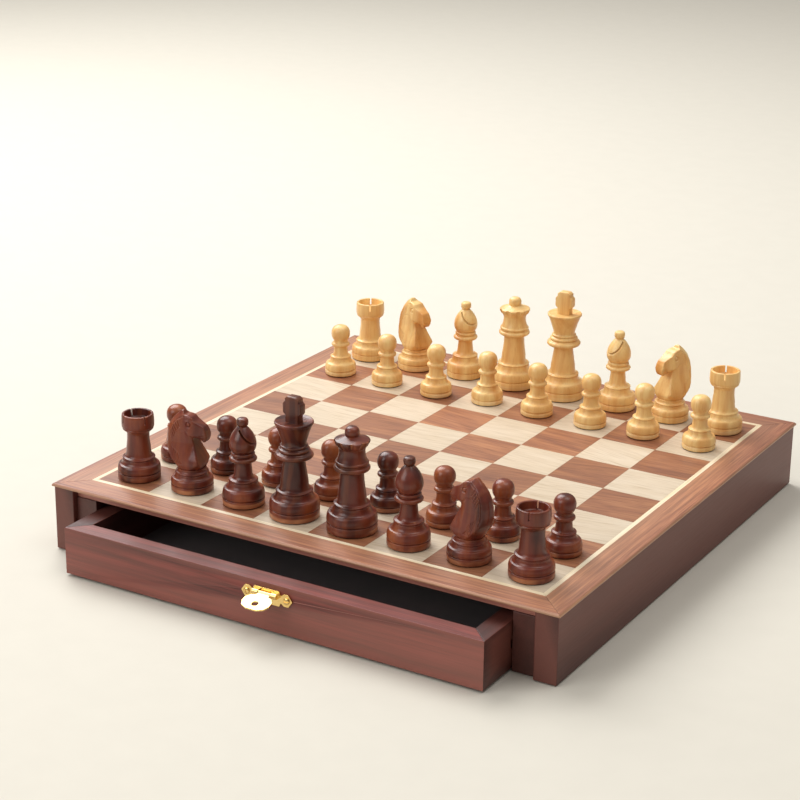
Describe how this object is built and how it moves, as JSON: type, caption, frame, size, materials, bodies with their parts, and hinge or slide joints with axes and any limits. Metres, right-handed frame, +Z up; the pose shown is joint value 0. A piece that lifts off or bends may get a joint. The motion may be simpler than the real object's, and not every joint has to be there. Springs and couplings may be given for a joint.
{
  "type": "magnetic chess set with drawer board",
  "caption": "Inlaid wooden chess board on a low case with a storage drawer at each end, brass drop-leaf pulls and magnetic turned men standing on the squares.",
  "frame": {"origin": "centre of the case's underside, on the middle rail between the two drawers, where the set stands on a table", "axes": "+Z up out of the playing surface, +X to the right along the front drawer, +Y from the dark men's side to the light men's side"},
  "size_m": [0.29, 0.3289, 0.0985],
  "materials": {
    "walnut_veneer": "semi-gloss lacquer over straight-grained walnut veneer",
    "walnut_border": "semi-gloss lacquer, grain along each rail",
    "maple_veneer": "semi-gloss lacquer over pale maple veneer",
    "mahogany_stain": "dark red-brown stain under satin lacquer",
    "boxwood": "turned and polished pale boxwood",
    "rosewood_stain": "turned, stained dark and polished",
    "brass": "polished sheet brass",
    "steel_sheet": "plain rolled sheet",
    "felt_lining": "short-pile glued felt"
  },
  "bodies": {
    "board": {"core_panel": "mahogany_stain", "steel_sheet": "steel_sheet", "walnut_squares": "walnut_veneer", "maple_squares": "maple_veneer", "maple_stringing": "maple_veneer", "border_rails": "walnut_border", "left_wall": "mahogany_stain", "right_wall": "mahogany_stain", "runner_blocks": "mahogany_stain", "centre_spine": "mahogany_stain"},
    "front_drawer": {"front_drawer_front": "mahogany_stain", "front_drawer_sides": "mahogany_stain", "front_drawer_back": "mahogany_stain", "front_drawer_bottom": "mahogany_stain", "front_drawer_felt": "felt_lining", "front_pull_plate": "brass", "front_pull_pin": "brass", "front_pull_screws": "brass"},
    "front_leaf": {"front_pull_leaf": "brass"},
    "rear_drawer": {"rear_drawer_front": "mahogany_stain", "rear_drawer_sides": "mahogany_stain", "rear_drawer_back": "mahogany_stain", "rear_drawer_bottom": "mahogany_stain", "rear_drawer_felt": "felt_lining", "rear_pull_plate": "brass", "rear_pull_pin": "brass", "rear_pull_screws": "brass"},
    "rear_leaf": {"rear_pull_leaf": "brass"},
    "dark_rook_left": {"dark_rook_left": "rosewood_stain"},
    "dark_knight_left": {"dark_knight_left": "rosewood_stain"},
    "dark_bishop_left": {"dark_bishop_left": "rosewood_stain"},
    "dark_king": {"dark_king": "rosewood_stain"},
    "dark_queen": {"dark_queen": "rosewood_stain"},
    "dark_bishop_right": {"dark_bishop_right": "rosewood_stain"},
    "dark_knight_right": {"dark_knight_right": "rosewood_stain"},
    "dark_rook_right": {"dark_rook_right": "rosewood_stain"},
    "dark_pawn_1": {"dark_pawn_1": "rosewood_stain"},
    "dark_pawn_2": {"dark_pawn_2": "rosewood_stain"},
    "dark_pawn_3": {"dark_pawn_3": "rosewood_stain"},
    "dark_pawn_4": {"dark_pawn_4": "rosewood_stain"},
    "dark_pawn_5": {"dark_pawn_5": "rosewood_stain"},
    "dark_pawn_6": {"dark_pawn_6": "rosewood_stain"},
    "dark_pawn_7": {"dark_pawn_7": "rosewood_stain"},
    "dark_pawn_8": {"dark_pawn_8": "rosewood_stain"},
    "light_pawn_1": {"light_pawn_1": "boxwood"},
    "light_pawn_2": {"light_pawn_2": "boxwood"},
    "light_pawn_3": {"light_pawn_3": "boxwood"},
    "light_pawn_4": {"light_pawn_4": "boxwood"},
    "light_pawn_5": {"light_pawn_5": "boxwood"},
    "light_pawn_6": {"light_pawn_6": "boxwood"},
    "light_pawn_7": {"light_pawn_7": "boxwood"},
    "light_pawn_8": {"light_pawn_8": "boxwood"},
    "light_rook_left": {"light_rook_left": "boxwood"},
    "light_knight_left": {"light_knight_left": "boxwood"},
    "light_bishop_left": {"light_bishop_left": "boxwood"},
    "light_queen": {"light_queen": "boxwood"},
    "light_king": {"light_king": "boxwood"},
    "light_bishop_right": {"light_bishop_right": "boxwood"},
    "light_knight_right": {"light_knight_right": "boxwood"},
    "light_rook_right": {"light_rook_right": "boxwood"}
  },
  "joints": [
    {"name": "drawer_front_slide", "type": "slide", "parent": "board", "child": "front_drawer", "axis": [0, -1, 0], "range_m": [-0.023, 0.07]},
    {"name": "drawer_front_pull", "type": "hinge", "parent": "front_drawer", "child": "front_leaf", "pos_m": [0.003, -0.1692, 0.0206], "axis": [-1, 0, 0], "range_deg": [-75, 35]},
    {"name": "drawer_rear_slide", "type": "slide", "parent": "board", "child": "rear_drawer", "axis": [0, 1, 0], "range_m": [0, 0.093]},
    {"name": "drawer_rear_pull", "type": "hinge", "parent": "rear_drawer", "child": "rear_leaf", "pos_m": [-0.003, 0.1462, 0.0206], "axis": [1, 0, 0], "range_deg": [0, 110]},
    {"name": "lift_dark_rook_left", "type": "slide", "parent": "board", "child": "dark_rook_left", "axis": [0, 0, 1], "range_m": [0, 0.08]},
    {"name": "lift_dark_knight_left", "type": "slide", "parent": "board", "child": "dark_knight_left", "axis": [0, 0, 1], "range_m": [0, 0.08]},
    {"name": "lift_dark_bishop_left", "type": "slide", "parent": "board", "child": "dark_bishop_left", "axis": [0, 0, 1], "range_m": [0, 0.08]},
    {"name": "lift_dark_king", "type": "slide", "parent": "board", "child": "dark_king", "axis": [0, 0, 1], "range_m": [0, 0.08]},
    {"name": "lift_dark_queen", "type": "slide", "parent": "board", "child": "dark_queen", "axis": [0, 0, 1], "range_m": [0, 0.08]},
    {"name": "lift_dark_bishop_right", "type": "slide", "parent": "board", "child": "dark_bishop_right", "axis": [0, 0, 1], "range_m": [0, 0.08]},
    {"name": "lift_dark_knight_right", "type": "slide", "parent": "board", "child": "dark_knight_right", "axis": [0, 0, 1], "range_m": [0, 0.08]},
    {"name": "lift_dark_rook_right", "type": "slide", "parent": "board", "child": "dark_rook_right", "axis": [0, 0, 1], "range_m": [0, 0.08]},
    {"name": "lift_dark_pawn_1", "type": "slide", "parent": "board", "child": "dark_pawn_1", "axis": [0, 0, 1], "range_m": [0, 0.08]},
    {"name": "lift_dark_pawn_2", "type": "slide", "parent": "board", "child": "dark_pawn_2", "axis": [0, 0, 1], "range_m": [0, 0.08]},
    {"name": "lift_dark_pawn_3", "type": "slide", "parent": "board", "child": "dark_pawn_3", "axis": [0, 0, 1], "range_m": [0, 0.08]},
    {"name": "lift_dark_pawn_4", "type": "slide", "parent": "board", "child": "dark_pawn_4", "axis": [0, 0, 1], "range_m": [0, 0.08]},
    {"name": "lift_dark_pawn_5", "type": "slide", "parent": "board", "child": "dark_pawn_5", "axis": [0, 0, 1], "range_m": [0, 0.08]},
    {"name": "lift_dark_pawn_6", "type": "slide", "parent": "board", "child": "dark_pawn_6", "axis": [0, 0, 1], "range_m": [0, 0.08]},
    {"name": "lift_dark_pawn_7", "type": "slide", "parent": "board", "child": "dark_pawn_7", "axis": [0, 0, 1], "range_m": [0, 0.08]},
    {"name": "lift_dark_pawn_8", "type": "slide", "parent": "board", "child": "dark_pawn_8", "axis": [0, 0, 1], "range_m": [0, 0.08]},
    {"name": "lift_light_pawn_1", "type": "slide", "parent": "board", "child": "light_pawn_1", "axis": [0, 0, 1], "range_m": [0, 0.08]},
    {"name": "lift_light_pawn_2", "type": "slide", "parent": "board", "child": "light_pawn_2", "axis": [0, 0, 1], "range_m": [0, 0.08]},
    {"name": "lift_light_pawn_3", "type": "slide", "parent": "board", "child": "light_pawn_3", "axis": [0, 0, 1], "range_m": [0, 0.08]},
    {"name": "lift_light_pawn_4", "type": "slide", "parent": "board", "child": "light_pawn_4", "axis": [0, 0, 1], "range_m": [0, 0.08]},
    {"name": "lift_light_pawn_5", "type": "slide", "parent": "board", "child": "light_pawn_5", "axis": [0, 0, 1], "range_m": [0, 0.08]},
    {"name": "lift_light_pawn_6", "type": "slide", "parent": "board", "child": "light_pawn_6", "axis": [0, 0, 1], "range_m": [0, 0.08]},
    {"name": "lift_light_pawn_7", "type": "slide", "parent": "board", "child": "light_pawn_7", "axis": [0, 0, 1], "range_m": [0, 0.08]},
    {"name": "lift_light_pawn_8", "type": "slide", "parent": "board", "child": "light_pawn_8", "axis": [0, 0, 1], "range_m": [0, 0.08]},
    {"name": "lift_light_rook_left", "type": "slide", "parent": "board", "child": "light_rook_left", "axis": [0, 0, 1], "range_m": [0, 0.08]},
    {"name": "lift_light_knight_left", "type": "slide", "parent": "board", "child": "light_knight_left", "axis": [0, 0, 1], "range_m": [0, 0.08]},
    {"name": "lift_light_bishop_left", "type": "slide", "parent": "board", "child": "light_bishop_left", "axis": [0, 0, 1], "range_m": [0, 0.08]},
    {"name": "lift_light_queen", "type": "slide", "parent": "board", "child": "light_queen", "axis": [0, 0, 1], "range_m": [0, 0.08]},
    {"name": "lift_light_king", "type": "slide", "parent": "board", "child": "light_king", "axis": [0, 0, 1], "range_m": [0, 0.08]},
    {"name": "lift_light_bishop_right", "type": "slide", "parent": "board", "child": "light_bishop_right", "axis": [0, 0, 1], "range_m": [0, 0.08]},
    {"name": "lift_light_knight_right", "type": "slide", "parent": "board", "child": "light_knight_right", "axis": [0, 0, 1], "range_m": [0, 0.08]},
    {"name": "lift_light_rook_right", "type": "slide", "parent": "board", "child": "light_rook_right", "axis": [0, 0, 1], "range_m": [0, 0.08]}
  ]
}
